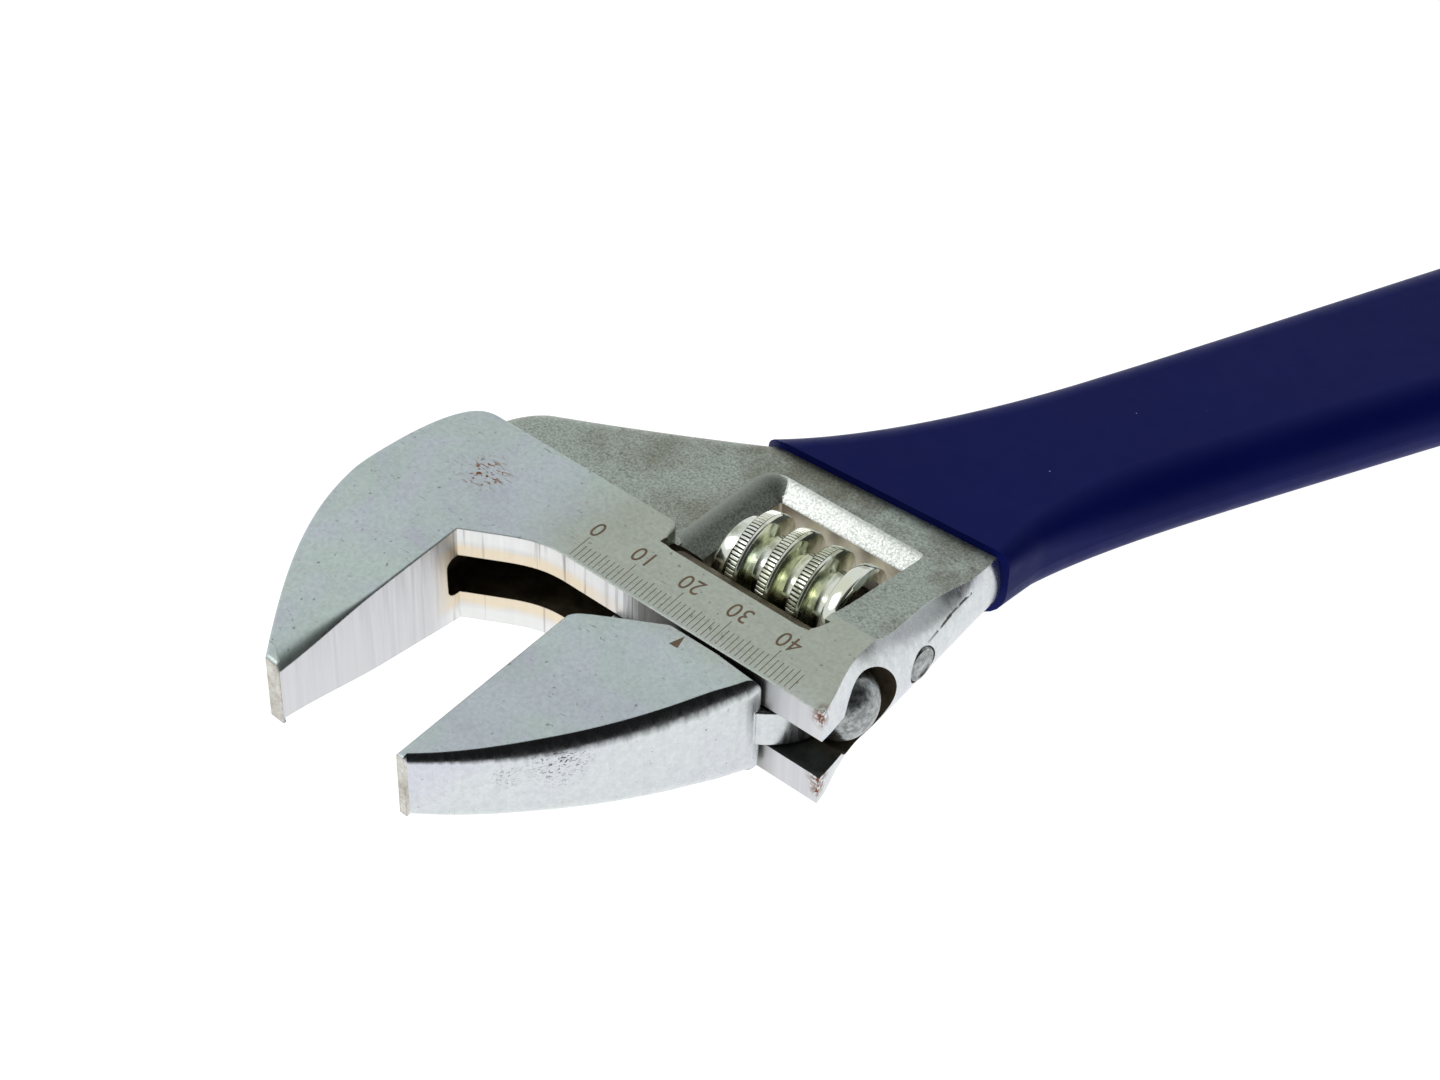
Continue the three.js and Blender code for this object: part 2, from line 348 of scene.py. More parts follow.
def boss_outline():
    """The fixed jaw and the head's raised flat in plan."""
    sharp = rim(HEAD_HALF, 0.25, 30)
    edge = rim(HEAD_HALF, 0.5)
    tip = rim(HEAD_HALF, 0.9, 25)
    outline = []
    for i in range(14):
        t = i / 13
        roll = rim(HEAD_HALF, 0.25 + 1.0 * t + 3.6 * smooth(0.45, 1, t), 32)
        outline.append((0, -FIXED_FACE * t, roll, roll))
    outline += same_rim([(-0.35, -FIXED_FACE - 0.12), (-3.1, -FIXED_FACE)], tip)
    left = curve([(-3.5, -FIXED_FACE + 0.5), (-16.9, -21.9), (-24.25, -9.8), (-23.77, 5)], 36)
    left += curve([(-23.77, 5), (-23.6, 13), (-22.6, 19.5), (-20.3, 23)], 12)
    left += curve([(-20.3, 23), (-18.6, BOSS_BACK), (-15.5, BOSS_BACK)], 8)
    outline += same_rim(left, edge)
    back = [(-15.5, BOSS_BACK), (0, BOSS_BACK), (22.6, BOSS_BACK)]
    back += curve([(23.6, BOSS_BACK), (25.6, BOSS_BACK), (25.9, 23.6)], 6)
    back += curve([(25.9, 23.6), (26.2, WINDOW_NEAR), (29.6, WINDOW_NEAR)], 8)
    back += [(40, WINDOW_NEAR), (54.5, WINDOW_NEAR)]
    back += curve([(55.5, WINDOW_NEAR), (57.6, WINDOW_NEAR), (58.2, 23)], 6)
    back += curve([(58.2, 23), (58.8, BOSS_BACK), (61.5, BOSS_BACK)], 6)
    back += [(61.5, BOSS_BACK), (PAST_HEAD, BOSS_BACK + 1.2)]
    outline += same_rim(back, edge)
    mouth = [(PAST_HEAD, SLOT_MOUTH), (60, SLOT_MOUTH), (40, SLOT_MOUTH), (24, SLOT_MOUTH)]
    mouth += curve([(17.5, SLOT_MOUTH), (12.5, SLOT_MOUTH), (9.5, 5.5), (6, 3.5)], 14)
    mouth += curve([(6, 3.5), (2.5, 1.5), (0.25, 0.2)], 6)
    outline += same_rim(mouth, sharp)
    return outline


def web_outline():
    """The thinner web between the head and the handle."""
    side = rim(WEB_HALF, 5.7)
    left = [(-15, 8), (-22.1, 19.9)]
    left += curve([(-22.1, 19.9), (-21.3, 33), (-14.6, 37.8)], 14)
    left += curve([(-14.6, 37.8), (5.0, 48.2), (25.4, 61.5)], 12) + [(25.4, 61.5)]
    outline = same_rim(left, side)
    outline += same_rim([(PAST_HEAD, 61.5), (PAST_HEAD, 14)], rim(WEB_HALF, 0.5))
    return outline


def handle_outline(layer, half, radius, mouth_radius, steps=1.0):
    """The handle in plan: the steel shank, and with a layer round it the grip.  Its right side is squarer
    beside the head."""
    left, right = HANDLE_MID - WAIST_HALF - layer, HANDLE_MID + WAIST_HALF + layer
    radius_out = END_HALF + layer
    left_end, right_end = HANDLE_MID - radius_out, HANDLE_MID + radius_out
    centre = on_handle(END_CENTRE, HANDLE_MID)

    def flank(points, count):
        return curve([on_handle(*p) for p in points], int(count * steps))

    points = [(67.3 + layer, 44), (-1, 40 + layer)]
    points += flank([(51.5, -9.8 - layer), (62.5, 0.8 - layer), (92, left + 0.4), (HANDLE_WAIST, left)], 30)
    points += flank([(HANDLE_WAIST, left), (150, left), (230, left_end), (END_CENTRE, left_end)], 50)
    points += arc(centre, radius_out, math.pi - HANDLE_ANGLE, -HANDLE_ANGLE, int(40 * steps))
    points += flank([(END_CENTRE, right_end), (230, right_end), (150, right), (HANDLE_WAIST, right)], 50)
    points += flank([(HANDLE_WAIST, right), (99, right), (88, 37.6 + layer)], 14)
    points += curve([on_handle(88, 37.6 + layer), (67.5 + layer, 56), (67.3 + layer, 44)], 14)
    outline = []
    for x, y in points:
        along = x * math.sin(HANDLE_ANGLE) + y * math.cos(HANDLE_ANGLE)
        across = x * math.cos(HANDLE_ANGLE) - y * math.sin(HANDLE_ANGLE)
        squarer = smooth(112, 72, along) if across > HANDLE_MID else 0
        upper = rim(half, radius + (mouth_radius - radius) * squarer)
        outline.append((x, y, upper, rim(half, radius)))
    return outline


def make_rail():
    """The rail right of the window, which ramps down from the head's flat to the web on both faces."""
    slope = [(24, 9.7), (25.7, 9.7), (27.2, 9.15), (30, 8.6)]
    slope += [(34, 8.05), (38.5, 7.5), (44.5, 6.6), (50, 5.98)]
    return along_x("rail", slope + [(y, -z) for y, z in reversed(slope)], WINDOW_RIGHT + 0.1, PAST_HEAD)


def head_side(name, shift):
    """Everything on the head's side of the grip's mouth, which draws back round the left of the web."""
    mouth = [(150, MOUTH_Y + 150 * math.tan(MOUTH_TILT)), (26, MOUTH_Y + 26 * math.tan(MOUTH_TILT))]
    mouth += [(22, 55.5), (18.5, 57.0), (14, 60.5), (-150, 200)]
    outline = [(-150, -150), (150, -150)] + [(x, y + shift) for x, y in mouth]
    return skin(name, [[(x, y, z) for x, y in outline] for z in (-30, 30)])


def window_tool():
    """The worm's window: upright walls in the middle, forged slopes to the left and far sides.  Each row is a
    height and how far the left and far slopes have opened out there."""
    rows = [(9.9, 2.6, 2.2), (6.3, 1.5, 1.12), (6.02, 1.26, 1.03), (5.85, 1.08, 0.97), (5.5, 0.86, 0.86)]
    rows += [(4.9, 0.6, 0.6), (4.2, 0.3, 0.28), (3.8, 0.1, 0.08), (3.5, 0, 0)]
    rows += [(-z, left_out, far_out) for z, left_out, far_out in reversed(rows)]
    rings, steps, corner = [], 8, 0.6
    for z, left_out, far_out in rows:
        left, far = WINDOW_LEFT - 4.4 * left_out, WINDOW_FAR + 3.4 * far_out
        left_corner = 0.5 + 3.4 * far_out
        notch = max(left, 26.3) + 0.02
        ring = [(WINDOW_RIGHT, WINDOW_NEAR)]
        for i in range(steps + 1):
            a = math.pi / 2 * i / steps
            ring.append((WINDOW_RIGHT - corner + corner * math.cos(a), far - corner + corner * math.sin(a)))
        for i in range(steps + 1):
            a = math.pi / 2 + math.pi / 2 * i / steps
            ring.append((left + left_corner * (1 + math.cos(a)), far - left_corner * (1 - math.sin(a))))
        ring += [(left, 26.5), (notch, 25.5), (notch + 0.02, WINDOW_NEAR)]
        rings.append([(x, y, z) for x, y in ring])
    return skin("window", rings)


def slot_tool():
    """The slide slot: its floor's corners are rounded where it runs out in the gripping face."""
    depth, corner = -2.6, 1.7
    section = [(ROD_Y, -SLOT_HALF)]
    section += arc((depth + corner, -SLOT_HALF + corner), corner, -math.pi / 2, -math.pi, 6)
    section += arc((depth + corner, SLOT_HALF - corner), corner, math.pi, math.pi / 2, 6)
    section += [(depth + corner, SLOT_HALF), (ROD_Y, SLOT_HALF)]
    return along_x("slot", section, -5, FAR_OFF)


def make_body():
    body = wedge(plate("wrench_body", boss_outline()))
    web = combine(plate("web", web_outline()), head_side("cut", -0.02), "INTERSECT")
    combine(body, web, "UNION")
    combine(body, make_rail(), "UNION")
    combine(body, beyond_end_wall(), "DIFFERENCE")
    shank = plate("shank", handle_outline(0, WEB_HALF - 0.1, 5, 5, 0.5))
    combine(body, shank, "UNION")
    hole = on_handle(END_CENTRE, HANDLE_MID)
    combine(body, through_bar("hole", hole, SHANK_HOLE_R), "DIFFERENCE")
    combine(body, slot_tool(), "DIFFERENCE")
    combine(body, bar("bore", -5, FAR_OFF, ROD_Y, BORE_R), "DIFFERENCE")
    combine(body, window_tool(), "DIFFERENCE")
    combine(body, bar("pin_hole", 23.2, 61, WORM_Y, PIN_R + 0.05, 48), "DIFFERENCE")
    combine(body, bar("pin_seat", PIN_HEAD_START - 0.3, FAR_OFF, WORM_Y, PIN_HEAD_R + 0.12, 64), "DIFFERENCE")
    return body


# -------- moving jaw

def jaw_outline():
    """The moving jaw in plan, without its neck and rod."""
    flat = rim(HEAD_HALF, 0.25, 30)
    tip = rim(HEAD_HALF, 0.5, 20)
    face = [(0, -3.4 - (MOVING_FACE - 3.4) * i / 12) for i in range(13)]
    outline = same_rim(face, rim(HEAD_HALF, 0.8, 32))
    outline += same_rim([(1.5, -MOVING_FACE)], tip)
    outer = curve([(1.9, -MOVING_FACE + 0.35), (15.5, -28.5), (26, -13), (32.4, SHOULDER - 0.6)], 46)
    for i, (x, y) in enumerate(outer):
        roll = rim(HEAD_HALF, 3.6 + 2.4 * smooth(0, 20, i) - 1.5 * smooth(38, 45, i), 0, 44)
        outline.append((x, y, roll, roll))
    outline += same_rim([(32.5, SHOULDER)], rim(HEAD_HALF, 3.0, 0, 44))
    ramp = [(24, SHOULDER)] + curve([(14.6, SHOULDER), (14, SHOULDER), (13.5, 6.2)], 4)
    ramp += [(13.5, 6.2), (8, 2.9), (3.0, -0.2)] + curve([(2.2, -0.7), (0.5, -1.6), (0, -3.2)], 6)
    outline += same_rim(ramp, flat)
    return outline


def make_jaw():
    jaw = wedge(plate("sliding_jaw", jaw_outline()))
    neck = same_rim(
        [(1, SHOULDER - 1), (32.5, SHOULDER - 1)] + curve([(32.4, 5.5), (36.8, 8.5), (38, 13)], 8)
        + [(38, 13), (38, ROD_Y), (1, ROD_Y)], rim(3.6, 0.4))
    combine(jaw, plate("neck", neck), "UNION")
    combine(jaw, bar("rod", 0.4, ROD_LENGTH - 5, ROD_Y, ROD_R), "UNION")
    domed = [(ROD_LENGTH - 8, 0), (ROD_LENGTH - 8, DOME_R)]
    for i in range(16):
        a = math.pi / 2 * i / 16
        domed.append((ROD_LENGTH - 4 + DOME_RUN * math.sin(a), DOME_R * math.cos(a)))
    domed.append((ROD_LENGTH - 4 + DOME_RUN, 0))
    combine(jaw, turned("dome", domed, ROD_Y - 0.55), "UNION")
    rack_top, side = WORM_Y - COLLAR_R - 0.35, ROD_R + 1
    flat = [(rack_top, -side), (WORM_Y, -side), (WORM_Y, side), (rack_top, side)]
    combine(jaw, along_x("rack", flat, -1, ROD_LENGTH + 1), "DIFFERENCE")
    jaw.data.transform(Matrix.Translation((REST_OPENING, 0, 0)))
    sweep = coil("sweep", REST_OPENING - LEAD, REST_OPENING + ROD_LENGTH + LEAD, 72, ridge(RACK_GAP, 0))
    combine(jaw, sweep, "DIFFERENCE")
    return jaw


# -------- worm, pin, spring, grip

def coil(name, start, end, per_turn, section):
    """A ridge wound round the worm's line, one turn for every lead of length: section(along, angle) gives the
    (offset, radius) corners of its cross-section."""
    steps = round((end - start) / LEAD * per_turn)
    rings = []
    for k in range(steps + 1):
        along = start + (end - start) * k / steps
        angle = math.pi / 2 + 2 * math.pi * (along - CREST_AT) / LEAD
        side, up = math.cos(angle), math.sin(angle)
        rings.append([(along + offset, WORM_Y + r * side, r * up) for offset, r in section(along, angle)])
    return skin(name, rings)


def ridge(clearance, band_depth):
    """The thread's cross-section.  Where the knurled band sits, up to the last turn, the crest is lowered."""
    crest, foot = 1.35 + clearance, 2.15 + clearance
    outer, inner = CREST_R + clearance, ROOT_R + clearance
    half_way = (outer + inner) / 2

    def section(along, angle):
        low = band_depth * smooth(BAND_END + 1, BAND_END - 0.4, along)
        corners = [(-foot, inner - 0.6), (-foot, inner), (-1.75 - clearance, half_way), (-crest, outer - 0.4)]
        corners += [(BAND_LEFT, outer - 0.3 - low), (-0.4, outer - 0.08 - low), (BAND_RIGHT, outer - low)]
        corners += [(BAND_RIGHT + 0.12, outer), (crest - 0.2, outer - 0.02), (crest, outer - 0.2)]
        return corners + [(1.75 + clearance, half_way), (foot, inner), (foot, inner - 0.6)]

    return section


def knurl(along, angle):
    """The band of ribs on the crest, which dies out before the last turn."""
    groove = 0.3 * smooth(0.62, 0.1, abs(math.sin(RIBS / 2 * angle)))
    ends = 0.9 * smooth(0.5, 0, along - BAND_START) + 0.9 * smooth(0.5, 0, BAND_END - along)
    top = CREST_R - groove - ends
    corners = [(BAND_LEFT, 8.6), (BAND_LEFT, top - 0.32), (-0.4, top - 0.08)]
    return corners + [(BAND_RIGHT, top + 0.1 * groove), (BAND_RIGHT, 8.6)]


def worm_finish(centre, normal):
    """The knurl's grooves and the spring's seat get painted shade, everything else is bright zinc."""
    x, y, z = centre
    radius = math.hypot(y - WORM_Y, z)
    angle = math.atan2(z, y - WORM_Y)
    offset = (x - CREST_AT - LEAD * (angle / (2 * math.pi) - 0.25)) % LEAD
    in_band = offset < BAND_RIGHT or offset > LEAD + BAND_LEFT
    in_groove = abs(math.sin(RIBS / 2 * angle)) < 0.38
    in_seat = x > SEAT_START + 0.1 and radius < 9
    if in_seat and normal.x > -0.5 and normal.y * (y - WORM_Y) + normal.z * z < 0:
        return "inside"
    return "groove" if in_band and in_groove and radius > CREST_R - 1.1 and x < BAND_END else "worm"


def make_worm():
    worm = coil("adjusting_worm", THREAD_START - LEAD / 2, WORM_END + LEAD / 2, 160, ridge(0, 0.75))
    combine(worm, coil("band", BAND_START, BAND_END, RIBS * 10, knurl), "UNION")
    combine(worm, bar("core", THREAD_START - 6, WORM_END + 6, WORM_Y, ROOT_R), "UNION")
    combine(worm, bar("length", THREAD_START, WORM_END, WORM_Y, CREST_R + 1), "INTERSECT")
    collar = [(WORM_START, 0), (WORM_START, COLLAR_R - 1.3), (WORM_START + 0.5, COLLAR_R - 0.5)]
    collar += [(WORM_START + 1.2, COLLAR_R), (THREAD_START + 1, COLLAR_R), (THREAD_START + 1, 0)]
    combine(worm, turned("collar", collar, WORM_Y), "UNION")
    combine(worm, bar("worm_bore", WORM_START - 1, WORM_END + 1, WORM_Y, 3.3, 64), "DIFFERENCE")
    seat = [(SEAT_START, 0), (SEAT_START, 5.9), (SEAT_START + 0.3, 6.2), (54.3, 6.2)]
    seat += [(WORM_END, 8.6), (WORM_END + 3.5, 8.6), (WORM_END + 3.5, 0)]
    combine(worm, turned("seat", seat, WORM_Y), "DIFFERENCE")
    return worm


def make_pin():
    profile = [(23.5, 0), (23.5, 2.5), (23.9, PIN_R), (PIN_HEAD_START, PIN_R), (PIN_HEAD_START, PIN_HEAD_R)]
    profile += [(PIN_END - 0.45, PIN_HEAD_R), (PIN_END - 0.1, 2.95), (PIN_END - 0.05, 2.6)]
    profile += [(PIN_END - 0.25, 2.3), (PIN_END - 0.15, 1.3), (PIN_END, 0.4), (PIN_END, 0)]
    return turned("pivot_pin", profile, WORM_Y, 72)


def make_spring():
    """The take-up spring, between the bottom of the worm's seat and the window's right wall."""
    start, run, turns, steps, radius = SEAT_START + 0.9, 4.5, 3.5, 168, 4.6
    line = bpy.data.curves.new("takeup_spring", "CURVE")
    line.dimensions = "3D"
    line.bevel_depth = 0.6
    line.bevel_resolution = 4
    line.use_fill_caps = True
    spline = line.splines.new("POLY")
    spline.points.add(steps)
    for i, point in enumerate(spline.points):
        angle = 2 * math.pi * turns * i / steps
        point.co = (start + run * i / steps, WORM_Y + radius * math.cos(angle), radius * math.sin(angle), 1)
    spring = bpy.data.objects.new("takeup_spring", line)
    bpy.context.scene.collection.objects.link(spring)
    return spring


def make_grip():
    grip = plate("vinyl_grip", handle_outline(VINYL, GRIP_HALF, 7.1, 2.4, 1.6))
    hollow = plate("hollow", handle_outline(0.02, WEB_HALF - 0.08, 5, 5, 0.5))
    combine(grip, hollow, "DIFFERENCE")
    hole = on_handle(END_CENTRE, HANDLE_MID)
    combine(grip, through_bar("grip_hole", hole, GRIP_HOLE_R), "DIFFERENCE")
    combine(grip, head_side("mouth", 0), "DIFFERENCE")
    return grip


# -------- scale

def etched(name, pieces):
    """Thin etched marks on a flat: each piece is a list of corners in plan."""
    vertices, faces = [], []
    for corners in pieces:
        base = len(vertices)
        count = len(corners)
        vertices += [(x, y, HEAD_HALF - 0.05) for x, y in corners]
        vertices += [(x, y, HEAD_HALF + 0.012) for x, y in corners]
        faces.append(tuple(range(base, base + count)))
        faces.append(tuple(range(base + count, base + 2 * count)))
        for i in range(count):
            j = (i + 1) % count
            faces.append((base + i, base + j, base + j + count, base + i + count))
    return new_object(name, vertices, faces)


def make_ticks():
    """One tick a millimetre, longer at every fifth and tenth."""
    pieces = []
    low, wide, pivot = 7.75, 0.065, 12.9
    for k in range(47):
        x = SCALE_ZERO + k
        top = 13.0 if k % 10 == 0 else 11.6 if k % 5 == 0 else 11.1
        high = top + SCALE_RISE * k
        shift_low = -SCALE_LEAN * (low - pivot)
        shift_high = -SCALE_LEAN * (high - pivot)
        pieces.append([
            (x + shift_low - wide, low), (x + shift_low + wide, low),
            (x + shift_high + wide, high), (x + shift_high - wide, high)])
    return etched("scale_ticks", pieces)


def make_pointer():
    return etched("scale_pointer", [[(17.2, 5.9), (16.4, 3.0), (18.1, 3.1)]])


def make_number(value):
    """A number over its tick, read from the handle's side."""
    text = bpy.data.curves.new("scale_number", "FONT")
    text.body = str(value)
    text.size = 4.9
    text.align_x = "CENTER"
    text.align_y = "CENTER"
    text.space_character = 1.05
    text.extrude = 0.02
    label = bpy.data.objects.new("scale_number_" + str(value), text)
    bpy.context.scene.collection.objects.link(label)
    bpy.context.view_layer.update()
    graph = bpy.context.evaluated_depsgraph_get()
    mesh = bpy.data.meshes.new_from_object(label.evaluated_get(graph))
    bpy.data.objects.remove(label)
    turn = Matrix.Rotation(math.pi + SCALE_LEAN * 0.5, 4, "Z")
    spot = Matrix.Translation((SCALE_ZERO - 0.25 + value, 15.45 + SCALE_RISE * value, HEAD_HALF - 0.01))
    mesh.transform(spot @ turn @ Matrix.Diagonal((0.86, 1.0, 1.0, 1.0)))
    number = bpy.data.objects.new("scale_number_" + str(value), mesh)
    bpy.context.scene.collection.objects.link(number)
    return number


# -------- materials

class Look:
    """A material being made, with short calls for its nodes."""

    def __init__(self, name, metallic):
        self.material = bpy.data.materials.new(name)
        self.material.use_nodes = True
        self.tree = self.material.node_tree
        self.shader = self.tree.nodes["Principled BSDF"]
        self.shader.inputs["Metallic"].default_value = metallic
        self.place = self.node("ShaderNodeTexCoord").outputs["Object"]
        self.rounded = None

    def node(self, kind, inputs=(), **settings):
        made = self.tree.nodes.new(kind)
        for name, value in settings.items():
            setattr(made, name, value)
        for key, value in dict(inputs).items():
            self.feed(made.inputs[key], value)
        return made

    def feed(self, socket, value):
        if isinstance(value, bpy.types.NodeSocket):
            self.tree.links.new(value, socket)
        elif isinstance(value, tuple) and len(value) == 3 and socket.type == "RGBA":
            socket.default_value = (*value, 1.0)
        else:
            socket.default_value = value

    def scaled(self, x, y, z):
        return self.node("ShaderNodeMapping", {"Vector": self.place, "Scale": (x, y, z)}).outputs["Vector"]

    def noise(self, scale, detail=3.0, rough=0.55, where=None, warp=0.0):
        made = self.node("ShaderNodeTexNoise", {
            "Vector": where or self.place, "Scale": scale, "Detail": detail,
            "Roughness": rough, "Distortion": warp})
        return made.outputs["Fac"]

    def cells(self, scale, where=None):
        made = self.node("ShaderNodeTexVoronoi", {"Vector": where or self.place, "Scale": scale})
        return made.outputs["Distance"]

    def ramp(self, value, low, high, out_low=0.0, out_high=1.0):
        made = self.node("ShaderNodeMapRange", {
            "Value": value, "From Min": low, "From Max": high, "To Min": out_low, "To Max": out_high})
        return made.outputs["Result"]

    def calc(self, operation, a, b):
        made = self.node("ShaderNodeMath", operation=operation)
        self.feed(made.inputs[0], a)
        self.feed(made.inputs[1], b)
        return made.outputs["Value"]

    def times(self, a, b):
        return self.calc("MULTIPLY", a, b)

    def mix(self, factor, a, b):
        """Blends two colours.  The node's sockets share their names, so they go by number."""
        made = self.node("ShaderNodeMix", data_type="RGBA")
        self.feed(made.inputs[0], factor)
        self.feed(made.inputs[6], a)
        self.feed(made.inputs[7], b)
        return made.outputs[2]

    def vector(self, operation, a, b, result="Vector"):
        return self.node("ShaderNodeVectorMath", {0: a, 1: b}, operation=operation).outputs[result]

    def axis(self, name):
        return self.node("ShaderNodeSeparateXYZ", {"Vector": self.place}).outputs[name]

    def fade(self, name, low, high, out_low=0.0, out_high=1.0):
        """A ramp along an axis, in millimetres, with Y counted from the throat corner."""
        zero = THROAT_Y if name == "Y" else 0
        return self.ramp(self.axis(name), (zero + low) * MM, (zero + high) * MM, out_low, out_high)

    def near(self, centre, radius, fade):
        """1 inside a ball round a place on the wrench, 0 outside it, in millimetres."""
        gap = self.vector("DISTANCE", self.place, (Vector(centre) + Vector((0, THROAT_Y, 0))) * MM, "Value")
        return self.ramp(gap, (radius + fade) * MM, radius * MM)

    def stroke(self, start, end, width):
        """1 along a thin line between two places on the wrench, broken up by noise."""
        first = (Vector(start) + Vector((0, THROAT_Y, 0))) * MM
        run = (Vector(end) - Vector(start)) * MM
        offset = self.vector("SUBTRACT", self.place, first)
        along = self.ramp(self.vector("DOT_PRODUCT", offset, run / run.length_squared, "Value"), 0.0, 1.0)
        foot = self.node("ShaderNodeVectorMath", {0: run, "Scale": along}, operation="SCALE")
        gap = self.vector("DISTANCE", offset, foot.outputs["Vector"], "Value")
        line = self.ramp(gap, width * MM, 0.3 * width * MM)
        return self.times(line, self.ramp(self.noise(500, 2), 0.38, 0.46))

    def speckle(self, colour, scale, amount):
        """Darkens a colour with fine grain."""
        grain = self.ramp(self.noise(scale, 3, 0.7), 0.36, 0.66, 0, amount)
        return self.mix(grain, colour, (0.0, 0.0, 0.0))

    def rust(self, colour, spots):
        """Rust in patches: spots are (place, radius) pairs."""
        grain = self.ramp(self.noise(900, 4, 0.7), 0.44, 0.54)
        for centre, radius in spots:
            mask = self.times(self.near(centre, radius * 0.3, radius), grain)
            colour = self.mix(mask, colour, (0.16, 0.055, 0.02))
        return colour

    def worn_edges(self, radius, colour, worn, amount=0.8):
        """Rounds the shading of the edges over a radius in millimetres, and rubs the colour off them."""
        bevel = self.node("ShaderNodeBevel", {"Radius": radius * MM})
        self.rounded = bevel.outputs["Normal"]
        flat = self.node("ShaderNodeNewGeometry").outputs["Normal"]
        mask = self.ramp(self.vector("DOT_PRODUCT", self.rounded, flat, "Value"), 0.995, 0.93, 0, amount)
        patchy = self.ramp(self.noise(350, 3), 0.42, 0.6)
        return self.mix(self.times(mask, patchy), colour, worn)

    def finish(self, colour, roughness, height=None, depth=0.00002, strength=1.0):
        self.feed(self.shader.inputs["Base Color"], colour)
        self.feed(self.shader.inputs["Roughness"], roughness)
        if height is not None:
            bump = self.node("ShaderNodeBump", {"Height": height, "Strength": strength, "Distance": depth})
            self.feed(self.shader.inputs["Normal"], bump.outputs["Normal"])
            if self.rounded is not None:
                self.feed(bump.inputs["Normal"], self.rounded)
        return self.material


# Marks at places on the wrench, each with its radius.
JAW_PITS = [((43.2, -22, 4), 4.5), ((38, -28, 2), 2.5)]
CORNER_RUST = [((71.0, 7.2, 8.9), 2.2), ((71.0, 7.3, -4.6), 2.2), ((71.1, 7.3, -7.0), 1.6)]


def satin_look():
    """Ground and plated flats: grey-green, with faint tints, pits, scratches and a rust patch."""
    look = Look("satin_plate", 1.0)
    tint = look.ramp(look.noise(48, 4, 0.6, warp=0.8), 0.42, 0.60)
    colour = look.mix(tint, (0.59, 0.685, 0.645), (0.61, 0.665, 0.705))
    colour = look.mix(look.ramp(look.noise(120, 4), 0.55, 0.70, 0, 0.45), colour, (0.55, 0.55, 0.66))
    band = look.times(look.fade("Y", 2, 10), look.fade("X", 6, 18))
    colour = look.mix(band, colour, (0.51, 0.545, 0.465))
    pits = look.ramp(look.noise(900, 2, 0.5), 0.68, 0.74)
    scratches = look.ramp(look.noise(260, 2, 0.6, look.scaled(1.0, 9.0, 1.0)), 0.70, 0.74)
    marks = look.calc("MAXIMUM", pits, scratches)
    colour = look.speckle(look.mix(look.times(marks, 0.55), colour, (0.10, 0.11, 0.10)), 1300, 0.16)
    clouds = look.ramp(look.noise(33, 5, 0.7), 0.40, 0.62, 0, 0.13)
    colour = look.mix(clouds, colour, (0.25, 0.29, 0.27))
    patch = look.near((-6.3, 13.2, 9.8), 1.8, 3.6)
    streaks = look.ramp(look.noise(620, 3, 0.6, look.scaled(1.0, 2.2, 1.0), 0.8), 0.545, 0.60)
    rust = look.times(patch, streaks)
    colour = look.worn_edges(0.3, colour, (0.72, 0.70, 0.62))
    colour = look.mix(rust, colour, (0.29, 0.13, 0.05))
    colour = look.rust(colour, CORNER_RUST)
    rough = look.calc("ADD", look.ramp(look.noise(160, 4), 0.3, 0.7, 0.33, 0.42), look.times(rust, 0.3))
    return look.finish(colour, rough, look.calc("SUBTRACT", look.noise(1500, 3), marks), 0.000012, 0.5)


def polished_look(name, roll=0.0):
    """Buffed walls: bright, with fine upright streaks.  Where roll is given, a painted dark reflection
    darkens them where they turn to the flat.
    """
    look = Look(name, 1.0)
    streaks = look.noise(900, 3, 0.6, look.scaled(1.0, 1.0, 0.06))
    tint = look.ramp(look.noise(45, 3), 0.45, 0.65)
    colour = look.mix(tint, (0.68, 0.72, 0.73), (0.65, 0.67, 0.735))
    pits = look.ramp(look.noise(1100, 2), 0.70, 0.76)
    colour = look.speckle(look.mix(look.times(pits, 0.6), colour, (0.15, 0.15, 0.14)), 900, 0.12)
    colour = look.worn_edges(0.3, colour, (0.80, 0.80, 0.78))
    colour = look.rust(colour, CORNER_RUST)
    # Two thin painted shadow lines along the end wall's top edge beside the web.
    for start, end in [((68.9, 36.5, 3.2), (68.2, 43.5, 3.8)), ((68.3, 42.5, 3.9), (67.6, 49.5, 4.2))]:
        colour = look.mix(look.stroke(start, end, 0.34), colour, (0.05, 0.05, 0.045))
    rough = look.ramp(streaks, 0.35, 0.65, 0.20, 0.34)
    # Painted dark reflection: faces that tilt up towards the flat are darkened, by as much as roll.
    if roll:
        facing = look.node("ShaderNodeNewGeometry").outputs["Normal"]
        up = look.node("ShaderNodeSeparateXYZ", {"Vector": facing}).outputs["Z"]
        up = look.calc("ADD", up, look.ramp(streaks, 0.3, 0.7, -0.06, 0.06))
        colour = look.mix(look.ramp(up, 0.14, 0.42, 0, roll), colour, (0.02, 0.02, 0.02))
        for centre, radius in JAW_PITS:
            grain = look.ramp(look.noise(1500, 2, 0.6, look.scaled(1.0, 1.0, 1.6), 0.8), 0.56, 0.60)
            mask = look.times(look.near(centre, radius * 0.4, radius), grain)
            colour = look.mix(mask, colour, (0.09, 0.09, 0.08))
    return look.finish(colour, rough, streaks, 0.000006, 0.3)


